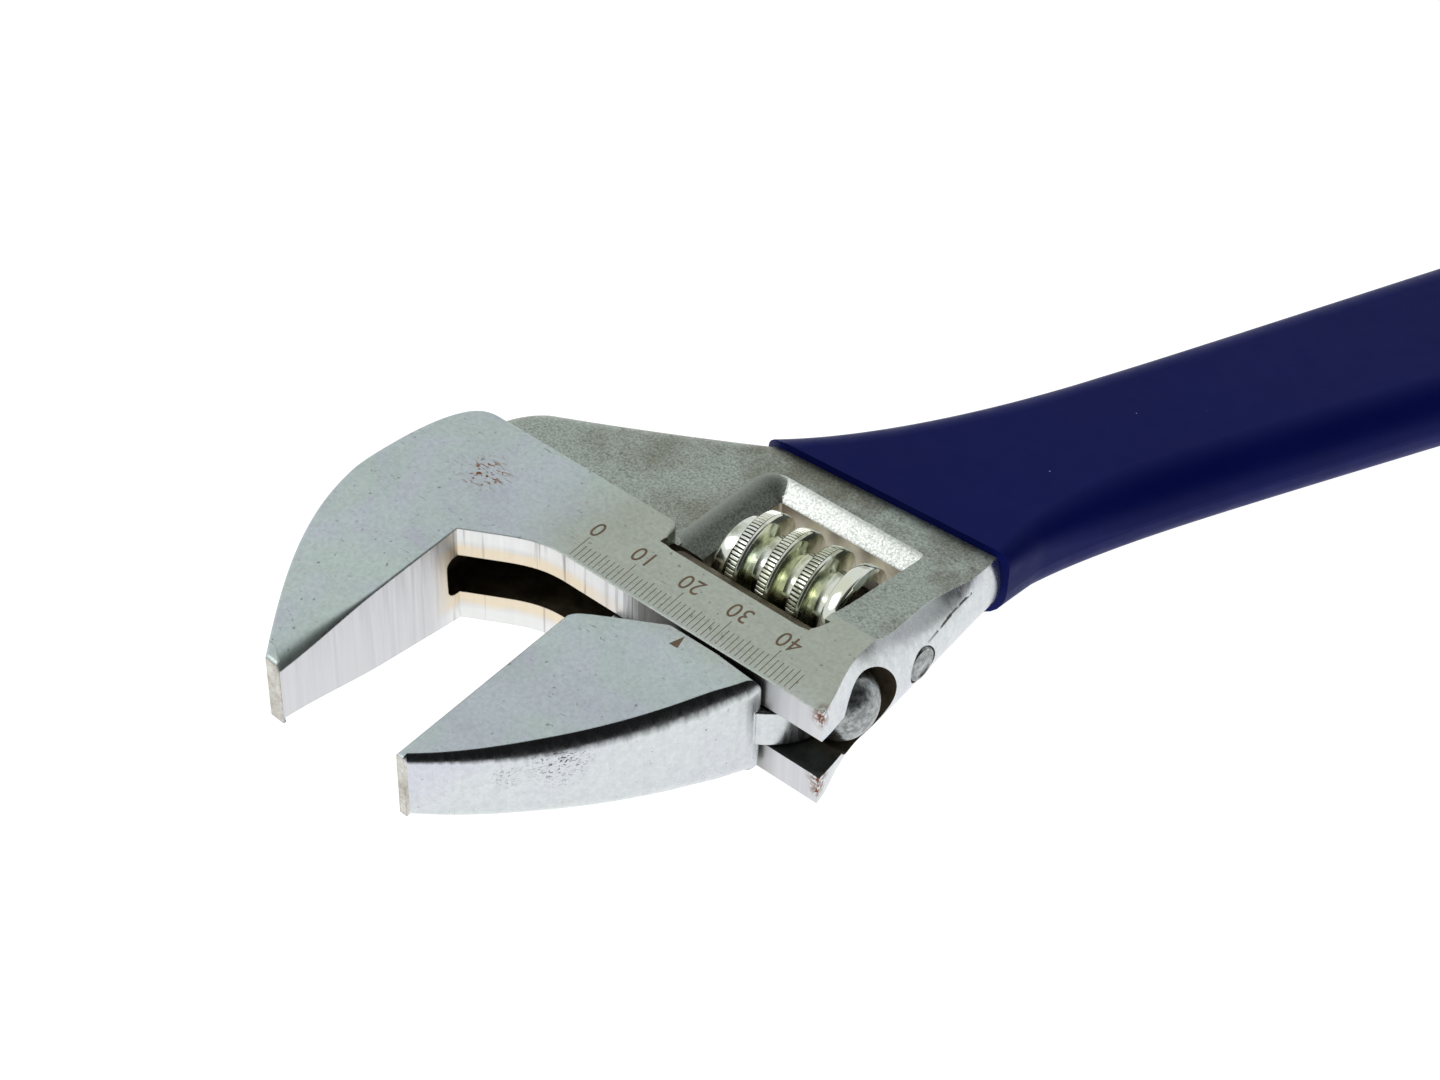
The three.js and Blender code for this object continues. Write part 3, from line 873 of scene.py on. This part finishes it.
def broached_look():
    """Gripping faces, throat and cheeks: upright tool marks, a heat tint beside the slot, and painted shade
    on the cheeks beside the moving jaw."""
    look = Look("broached_plate", 1.0)
    fine = look.noise(1700, 2, 0.6, look.scaled(1.0, 1.0, 0.03))
    coarse = look.noise(420, 3, 0.6, look.scaled(1.0, 1.0, 0.04))
    colour = look.mix(look.ramp(coarse, 0.4, 0.65), (0.68, 0.685, 0.70), (0.63, 0.635, 0.665))
    height = look.calc("ABSOLUTE", look.axis("Z"), 0.0)
    edge = look.calc("ADD", height, look.ramp(look.noise(160, 3), 0.3, 0.7, -0.0006, 0.0006))
    tint = look.ramp(edge, 0.0072, 0.0058)
    left_half = look.fade("X", 32, 20)
    in_throat = look.times(look.fade("Y", -6, -1.5), left_half)
    colour = look.mix(look.times(tint, in_throat), colour, (0.84, 0.74, 0.58))
    upper = look.times(in_throat, look.ramp(height, 0.0058, 0.0075, 0, 0.7))
    colour = look.mix(upper, colour, (0.92, 0.93, 0.91))
    streaks = look.ramp(coarse, 0.58, 0.66)
    dark = look.times(look.times(streaks, look.fade("Y", -12, 0)), left_half)
    colour = look.mix(look.times(dark, 0.6), colour, (0.22, 0.17, 0.14))
    # Painted shade on the cheeks beside the moving jaw. It starts raggedly and fades out at the far end.
    ragged = look.calc("ADD", look.axis("X"), look.ramp(fine, 0.3, 0.7, -2 * MM, 2 * MM))
    painted_cheek_shade = look.times(look.ramp(ragged, 28.5 * MM, 33 * MM), look.fade("Y", 0, 3))
    painted_cheek_shade = look.times(painted_cheek_shade, look.fade("X", 63, 57, 0, 0.85))
    colour = look.mix(painted_cheek_shade, colour, (0.11, 0.11, 0.10))
    colour = look.worn_edges(0.25, colour, (0.70, 0.66, 0.58))
    colour = look.rust(colour, CORNER_RUST)
    rough = look.ramp(fine, 0.3, 0.7, 0.32, 0.46)
    return look.finish(colour, rough, look.calc("ADD", fine, coarse), 0.000010, 0.6)


def tip_look():
    """The jaws' blunt ends: dull and a little yellow."""
    look = Look("worn_tip", 1.0)
    cloud = look.noise(320, 4, 0.7)
    colour = look.mix(look.ramp(cloud, 0.38, 0.62), (0.72, 0.715, 0.665), (0.56, 0.54, 0.48))
    colour = look.worn_edges(0.4, look.speckle(colour, 1500, 0.25), (0.26, 0.20, 0.13), 0.9)
    return look.finish(colour, look.ramp(cloud, 0.3, 0.7, 0.36, 0.5), cloud, 0.00003, 0.6)


def forged_look():
    """The web's blasted forging skin: darker, grainy, with brownish stains."""
    look = Look("forged_skin", 1.0)
    stain = look.ramp(look.noise(45, 5, 0.65), 0.44, 0.62)
    colour = look.mix(stain, (0.52, 0.58, 0.52), (0.36, 0.375, 0.31))
    near_grip = look.times(look.fade("Y", 36, 54, 0, 0.35), look.ramp(look.noise(180, 4), 0.4, 0.6))
    colour = look.mix(near_grip, colour, (0.16, 0.15, 0.10))
    grain = look.noise(1300, 4, 0.7)
    colour = look.mix(look.ramp(grain, 0.55, 0.8, 0, 0.4), colour, (0.48, 0.50, 0.46))
    pits = look.ramp(look.noise(700, 2), 0.66, 0.74)
    colour = look.mix(look.times(pits, 0.5), colour, (0.10, 0.10, 0.08))
    colour = look.speckle(colour, 2200, 0.5)
    return look.finish(colour, look.ramp(grain, 0.3, 0.7, 0.40, 0.54), grain, 0.00004, 0.8)


def slope_look(name, dark, bright, rough, depth):
    """The window's forged slopes, which fade into the web's colour at their top.  It is made twice: a bright
    copy with painted light for the far slope, and a dark copy with painted shade for the left slope.
    """
    look = Look(name, 1.0)
    grain = look.noise(2400, 3, 0.7)
    colour = look.mix(look.ramp(grain, 0.38, 0.60), dark, bright)
    height = look.calc("ABSOLUTE", look.axis("Z"), 0.0)
    colour = look.mix(look.ramp(height, 5.0 * MM, 6.1 * MM, 0, 0.8), colour, (0.42, 0.46, 0.41))
    return look.finish(colour, rough, grain, depth, 1.0)


def window_look():
    """The window's milled inner walls: pinkish tan, satin."""
    look = Look("milled_wall", 1.0)
    cloud = look.noise(220, 4, 0.6)
    colour = look.mix(look.ramp(cloud, 0.35, 0.65), (0.60, 0.55, 0.48), (0.47, 0.42, 0.36))
    return look.finish(colour, look.ramp(cloud, 0.3, 0.7, 0.38, 0.5), look.noise(900, 3), 0.00002, 0.5)


def inside_look():
    """The bore, the slot and other hollows: near-black painted shade, dull grey at the slot's open end."""
    look = Look("painted_recess_shade", 0.6)
    cloud = look.noise(260, 5, 0.65)
    colour = look.mix(look.ramp(cloud, 0.4, 0.7), (0.08, 0.062, 0.035), (0.20, 0.16, 0.11))
    bright = look.mix(look.ramp(cloud, 0.38, 0.66), (0.06, 0.066, 0.062), (0.15, 0.16, 0.15))
    colour = look.mix(look.times(look.fade("X", 40, 58), look.fade("Y", 14, 11)), colour, bright)
    return look.finish(colour, look.ramp(cloud, 0.3, 0.7, 0.45, 0.6), cloud, 0.00003, 0.6)


def groove_look():
    """Painted shade for the bottoms of the knurl's grooves."""
    look = Look("knurl_groove", 1.0)
    cloud = look.noise(900, 2)
    colour = look.mix(cloud, (0.06, 0.07, 0.045), (0.16, 0.18, 0.11))
    return look.finish(colour, 0.45, cloud, 0.00001, 0.5)


def rod_look():
    """The rod's end: mottled grey cast skin with bright spots."""
    look = Look("rod_end", 1.0)
    grain = look.noise(900, 4, 0.75)
    colour = look.mix(look.ramp(grain, 0.42, 0.62), (0.21, 0.225, 0.225), (0.47, 0.50, 0.50))
    return look.finish(colour, look.ramp(grain, 0.3, 0.7, 0.24, 0.42), grain, 0.00004, 0.8)


def worm_look():
    """Yellow-green bright zinc, with patches of painted dark reflection."""
    look = Look("zinc_worm", 1.0)
    cloud = look.noise(130, 4, 0.6, warp=0.8)
    colour = look.mix(look.ramp(cloud, 0.38, 0.62), (0.84, 0.87, 0.80), (0.80, 0.82, 0.66))
    # Painted dark reflections in random patches.
    colour = look.mix(look.ramp(look.noise(170, 3), 0.52, 0.62, 0, 0.7), colour, (0.30, 0.32, 0.21))
    rough = look.ramp(look.noise(700, 3), 0.3, 0.7, 0.07, 0.18)
    return look.finish(colour, rough, look.noise(400, 2), 0.00002, 0.3)


def spring_look():
    look = Look("spring_wire", 1.0)
    streaks = look.noise(1500, 2)
    colour = look.mix(streaks, (0.50, 0.52, 0.51), (0.38, 0.39, 0.38))
    return look.finish(colour, look.ramp(streaks, 0.3, 0.7, 0.25, 0.4), streaks, 0.00001, 0.4)


def vinyl_look():
    """Dipped navy vinyl: smooth, semi-matt, a few pale specks of dust."""
    look = Look("navy_vinyl", 0.0)
    cloud = look.noise(40, 3, 0.5)
    colour = look.mix(look.ramp(cloud, 0.35, 0.65), (0.0020, 0.0070, 0.125), (0.0015, 0.0060, 0.110))
    specks = look.ramp(look.cells(330), 0.055, 0.045)
    few = look.ramp(look.noise(240, 1), 0.66, 0.68)
    colour = look.mix(look.times(look.times(specks, few), 0.8), colour, (0.45, 0.5, 0.7))
    height = look.calc("ADD", look.noise(900, 3), look.times(look.noise(90, 2), 6.0))
    look.shader.inputs["Specular IOR Level"].default_value = 0.07
    return look.finish(colour, look.ramp(look.noise(300, 3), 0.3, 0.7, 0.40, 0.50), height, 0.00002, 0.35)


def etch_look():
    look = Look("etched_mark", 0.3)
    cloud = look.noise(700, 3)
    colour = look.mix(look.ramp(cloud, 0.35, 0.65), (0.235, 0.155, 0.085), (0.17, 0.12, 0.075))
    return look.finish(colour, 0.6, cloud, 0.00001, 0.5)


def floor_look():
    """A pale table, lit from within like a light table so that it stays white."""
    look = Look("pale_table", 0.0)
    cloud = look.noise(3, 2)
    colour = look.mix(cloud, (0.20, 0.20, 0.20), (0.18, 0.18, 0.185))
    look.shader.inputs["Emission Color"].default_value = (1, 1, 1, 1)
    look.shader.inputs["Emission Strength"].default_value = 1.0
    return look.finish(colour, 0.8)


LOOKS = {
    "satin": satin_look(),
    "polished": polished_look("polished_plate"),
    "buffed": polished_look("buffed_plate", 0.8),
    "broached": broached_look(),
    "forged": forged_look(),
    # The far and left slopes: one forged finish, as a painted lit copy and a painted shaded copy.
    "slope": slope_look("far_slope_painted_light", (0.50, 0.515, 0.48), (0.88, 0.91, 0.87), 0.32, 0.00005),
    "left_slope_painted_shade": slope_look("left_slope_painted_shade", (0.13, 0.14, 0.12), (0.27, 0.29, 0.255), 0.48, 0.00003),
    "groove": groove_look(),
    "tip": tip_look(),
    "window": window_look(),
    "inside": inside_look(),
    "rod": rod_look(),
    "worm": worm_look(),
    "spring": spring_look(),
    "vinyl": vinyl_look(),
    "etch": etch_look(),
}


# -------- finishing

BODY_LOOKS = ["satin", "polished", "broached", "forged", "slope", "left_slope_painted_shade", "window", "inside", "tip"]


def body_finish(centre, normal):
    """The finish of one face of the frame, from where it is and which way it looks."""
    x, y, z = centre
    # Faces of the bore and the slot get the inside look's near-black painted shade.
    if math.hypot(y - ROD_Y, z) < BORE_R + 0.15 and x < 69.5 and abs(normal.x) < 0.5:
        return "inside"
    if abs(z) < SLOT_HALF + 0.05 and -3 < y < 15 and abs(normal.z) > 0.5:
        return "inside"
    if -6 < x < -0.02 and abs(z) < SLOT_HALF + 0.05 and -3 < y < 28:
        return "inside"
    in_window = 24 < x < WINDOW_RIGHT + 0.7 and WINDOW_NEAR - 1 < y < WINDOW_FAR + 3.9
    if in_window and abs(z) < WEB_HALF + 0.4 and abs(normal.z) < 0.2:
        return "window"
    # Slope faces: those facing +X get the painted shaded copy, the rest get the painted lit copy.
    if in_window and abs(z) < WEB_HALF + 0.4 and abs(normal.z) < 0.985:
        return "left_slope_painted_shade" if normal.x > 0.15 else "slope"
    if y < 0.4 - FIXED_FACE and normal.y < -0.7:
        return "tip"
    if x > 62 and normal.x > 0.35:
        return "polished"
    if -0.6 < x < 72 and y < SLOT_MOUTH + 1 and abs(normal.z) < 0.45:
        return "broached"
    past_boss = y > 23 or (y > 19.8 and (x > -15 or x < -21.72 + 0.52 * (y - 20.5)))
    if (abs(z) < WEB_HALF + 0.2 and past_boss) or (x > 58 and y > 25.75):
        return "forged"
    if abs(normal.z) < 0.7 and x < 0:
        return "polished"
    return "satin"


JAW_LOOKS = ["satin", "buffed", "broached", "rod", "inside", "tip"]


def jaw_finish(centre, normal):
    """The finish of one face of the moving jaw, in the same way."""
    x, y, z = centre
    x -= REST_OPENING
    # The rod's length inside the bore gets the inside look's near-black painted shade.
    if y > 13 and x < ROD_LENGTH - 14:
        return "inside"
    if y > SHOULDER + 0.2 or (abs(z) < 3.7 and y > SHOULDER - 0.5):
        return "buffed" if normal.x > 0.2 and y < 13.5 else "rod"
    if y < 0.4 - MOVING_FACE and normal.y < -0.7:
        return "tip"
    if normal.x < -0.6 or (y > -5 and abs(normal.z) < 0.5 and normal.y > 0.3):
        return "broached"
    if (abs(normal.z) < 0.8 and normal.x > 0.1) or abs(normal.z) < 0.5:
        return "buffed"
    return "satin"


def soften(obj, angle=28):
    """Smooth shading, with creases where faces meet at more than the angle, and flats kept flat."""
    for polygon in obj.data.polygons:
        polygon.use_smooth = True
    obj.data.set_sharp_from_angle(angle=math.radians(angle))
    weigh = obj.modifiers.new("flats", "WEIGHTED_NORMAL")
    weigh.keep_sharp = True
    weigh.weight = 90


def paint(obj, names, choose):
    """Gives each face the finish that choose() names."""
    obj.data.materials.clear()
    for name in names:
        obj.data.materials.append(LOOKS[name])
    for polygon in obj.data.polygons:
        polygon.material_index = names.index(choose(polygon.center, polygon.normal))


def place(obj, body, slot, *nodes):
    """Brings a finished piece from millimetres into the frame, and ties it to its body."""
    to_frame = Matrix.Scale(MM, 4) @ Matrix.Translation((0, THROAT_Y, 0))
    obj.data.transform(to_frame)
    if obj.type == "CURVE":
        obj.data.bevel_depth *= MM
    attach(obj, body)
    if nodes:
        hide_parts(*nodes)


def one_look(obj, name):
    obj.data.materials.clear()
    obj.data.materials.append(LOOKS[name])


def build():
    body = make_body()
    paint(body, BODY_LOOKS, body_finish)
    soften(body)
    place(body, "frame", "plated_steel", "body")

    jaw = make_jaw()
    paint(jaw, JAW_LOOKS, jaw_finish)
    soften(jaw)
    place(jaw, "jaw", "plated_steel", "moving_jaw")

    worm = make_worm()
    paint(worm, ["worm", "groove", "inside"], worm_finish)
    soften(worm, 40)
    place(worm, "worm", "worm_steel", "worm")

    pin = make_pin()
    one_look(pin, "rod")
    soften(pin)
    place(pin, "frame", "plated_steel", "worm_pin")

    spring = make_spring()
    one_look(spring, "spring")
    place(spring, "frame", "spring_steel", "worm_spring")

    grip = make_grip()
    one_look(grip, "vinyl")
    soften(grip, 40)
    place(grip, "frame", "vinyl", "grip_sleeve")

    ticks, pointer = make_ticks(), make_pointer()
    pointer.data.transform(Matrix.Translation((REST_OPENING, 0, 0)))
    marks = [(ticks, "frame"), (pointer, "jaw")]
    marks += [(make_number(value), "frame") for value in (0, 10, 20, 30, 40)]
    for mark, rider in marks:
        one_look(mark, "etch")
        place(mark, rider, "plated_steel")


# -------- camera and light

def add_camera():
    lens = bpy.data.cameras.new("camera")
    lens.sensor_width = 36
    lens.lens = 70.5
    lens.clip_start = 0.01
    lens.clip_end = 20
    camera = bpy.data.objects.new("camera", lens)
    bpy.context.scene.collection.objects.link(camera)
    camera.location = (0.2527, -0.2184, 0.3102)
    camera.rotation_euler = [math.radians(angle) for angle in (48.84, -1.538, 41.006)]
    bpy.context.scene.camera = camera


def add_floor():
    size = 3.0
    corners = [(-size, -size, FLOOR_Z), (size, -size, FLOOR_Z), (size, size, FLOOR_Z), (-size, size, FLOOR_Z)]
    floor = new_object("pale_floor", corners, [(0, 1, 2, 3)])
    floor.data.materials.append(floor_look())


def add_lamp(name, place_at, target, size, power):
    lamp = bpy.data.lights.new(name, "AREA")
    lamp.shape = "RECTANGLE"
    lamp.size, lamp.size_y = size
    lamp.energy = power
    obj = bpy.data.objects.new(name, lamp)
    bpy.context.scene.collection.objects.link(obj)
    obj.location = place_at
    obj.rotation_euler = (Vector(target) - Vector(place_at)).to_track_quat("-Z", "Y").to_euler()


def add_world():
    """A soft studio: pale behind the wrench, dark behind the camera."""
    world = bpy.data.worlds.new("studio")
    bpy.context.scene.world = world
    world.use_nodes = True
    nodes, links = world.node_tree.nodes, world.node_tree.links
    way = nodes.new("ShaderNodeTexCoord").outputs["Generated"]
    facing = nodes.new("ShaderNodeVectorMath")
    facing.operation = "DOT_PRODUCT"
    links.new(way, facing.inputs[0])
    facing.inputs[1].default_value = Vector((0.85, -0.35, 0.35)).normalized()
    shade = nodes.new("ShaderNodeMapRange")
    links.new(facing.outputs["Value"], shade.inputs["Value"])
    shade.inputs["From Min"].default_value = 0.12
    shade.inputs["From Max"].default_value = 0.52
    shade.inputs["To Min"].default_value = 0.78
    shade.inputs["To Max"].default_value = 0.05
    shade.interpolation_type = "SMOOTHSTEP"
    links.new(shade.outputs["Result"], nodes["Background"].inputs["Strength"])
    nodes["Background"].inputs["Color"].default_value = (0.97, 0.99, 1.0, 1)


build()
add_camera()
add_floor()
add_world()
add_lamp("soft_key", (-0.7, -0.3, 0.9), (0.05, 0.05, 0), (0.5, 0.5), 1.5)
bpy.context.scene.view_settings.view_transform = "Standard"
